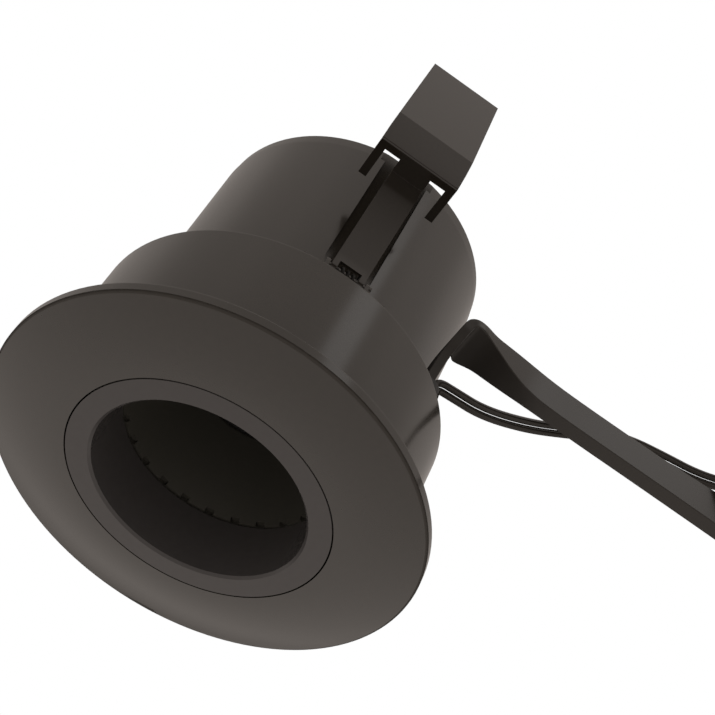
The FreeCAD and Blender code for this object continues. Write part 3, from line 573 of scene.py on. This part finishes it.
studio = {
    "fill": 0.62,             # how strongly the walls light a matt surface
    "wall": "#ffffff",
    "mirroredWall": "#fff4ec",
    "mirroredFloor": 1.32,    # strength of the floor in reflections, which light the flange's face
    "floorHeight": -0.9,
    "floorSize": 6.0,
    "floor": "#f4f3f0",
    # Shades of the mirrored walls: direction from the lamp, cosines between which the shade sets in, and
    # the share of the light that it leaves
    "shades": (
        ((-0.50, -0.68, 0.536), 0.55, 0.88, 0.72),
        ((-0.697, 0.088, 0.712), 0.66, 0.96, 0.55),
        ((-0.200, 0.650, 0.730), 0.80, 0.95, 0.75),
    ),
    "bandStart": (-0.25, 0.0),      # sines of the heights between which a dark band sets in
    "bandEnd": (0.56, 0.47),        # and, coming down from above, sets in again
    "bandDepth": 0.95,
    "softboxPlace": (1.30, 0.54, 1.424),    # metres from the lamp
    "softboxWidth": 0.42,
    "softboxLight": 0.95,
}


def seenDirectly(tree):
    # 1 for what the camera sees itself, in a reflection or through glass, and 0 for light on matt surfaces
    rays = addNode(tree, "ShaderNodeLightPath").outputs
    mirrored = addMath(tree, "MAXIMUM", rays["Is Camera Ray"], rays["Is Glossy Ray"])
    return addMath(tree, "MAXIMUM", mirrored, rays["Is Transmission Ray"])


def makeWalls(tree):
    # What glossy surfaces mirror: white walls, shaded as the dictionary says, as a strength
    place = addNode(tree, "ShaderNodeTexCoord").outputs["Generated"]
    height = addNode(tree, "ShaderNodeSeparateXYZ", None, {"Vector": place}).outputs["Z"]
    band = addMath(tree, "MULTIPLY", addRamp(tree, height, studio["bandStart"]),
                   addRamp(tree, height, studio["bandEnd"]))
    walls = addRamp(tree, band, (0.0, 1.0), (1.0, 1.0 - studio["bandDepth"]))
    for way, start, full, left in studio["shades"]:
        near = addNode(tree, "ShaderNodeVectorMath", {"operation": "DOT_PRODUCT", 1: way}, {0: place})
        dim = addRamp(tree, near.outputs["Value"], (start, full), (1.0, left))
        walls = addMath(tree, "MULTIPLY", walls, dim)
    return walls


def makeWorld():
    world = bpy.data.worlds.new("studio walls")
    world.use_nodes = True
    scene.world = world
    tree = world.node_tree
    tree.nodes.clear()
    white = linear(studio["wall"])
    light = addNode(tree, "ShaderNodeBackground", {"Color": white, "Strength": studio["fill"]})
    mirrored = addNode(tree, "ShaderNodeBackground", {"Color": linear(studio["mirroredWall"])},
                       {"Strength": makeWalls(tree)})
    wall = addNode(tree, "ShaderNodeBackground", {"Color": white, "Strength": 1.0})
    rays = addNode(tree, "ShaderNodeLightPath").outputs
    shiny = addNode(tree, "ShaderNodeMixShader", None, {0: rays["Is Glossy Ray"], 1: light.outputs[0],
                                                        2: mirrored.outputs[0]})
    straight = addMath(tree, "MAXIMUM", rays["Is Camera Ray"], rays["Is Transmission Ray"])
    mixed = addNode(tree, "ShaderNodeMixShader", None, {0: straight, 1: shiny.outputs[0],
                                                        2: wall.outputs[0]})
    addNode(tree, "ShaderNodeOutputWorld", None, {"Surface": mixed.outputs[0]})


def makeSoftbox():
    # A small soft lamp far above the right shoulder, which draws the pale streak along the barrels
    data = bpy.data.lights.new("softbox", "AREA")
    data.size = studio["softboxWidth"]
    data.energy = studio["softboxLight"] * math.pi * data.size ** 2
    item = bpy.data.objects.new("softbox", data)
    scene.collection.objects.link(item)
    item.location = Vector(studio["softboxPlace"])
    item.rotation_euler = item.location.to_track_quat("Z", "Y").to_euler()
    item.visible_camera = False


def makeFloor():
    half = studio["floorSize"] / 2
    corners = np.array([(-half, -half, 0), (half, -half, 0), (half, half, 0), (-half, half, 0)])
    mesh = bpy.data.meshes.new("floor")
    mesh.from_pydata((corners + [0, 0, studio["floorHeight"]]).tolist(), [], [(0, 1, 2, 3)])
    item = bpy.data.objects.new("floor", mesh)
    scene.collection.objects.link(item)
    material, tree = newMaterial("pale floor")
    matt = addNode(tree, "ShaderNodeBsdfDiffuse", {"Color": linear(studio["floor"])})
    shiny = addNode(tree, "ShaderNodeLightPath").outputs["Is Glossy Ray"]
    glow = addNode(tree, "ShaderNodeEmission", None, {
        "Color": addTint(tree, shiny, (studio["floor"], studio["mirroredWall"])),
        "Strength": addRamp(tree, shiny, (0.0, 1.0), (1.0, studio["mirroredFloor"]))})
    mixed = addNode(tree, "ShaderNodeMixShader", None, {0: seenDirectly(tree), 1: matt.outputs[0],
                                                        2: glow.outputs[0]})
    addNode(tree, "ShaderNodeOutputMaterial", None, {"Surface": mixed.outputs[0]})
    mesh.materials.append(material)


makeWorld()
makeSoftbox()
makeFloor()
scene.view_settings.view_transform = "Standard"
print("studio ready")
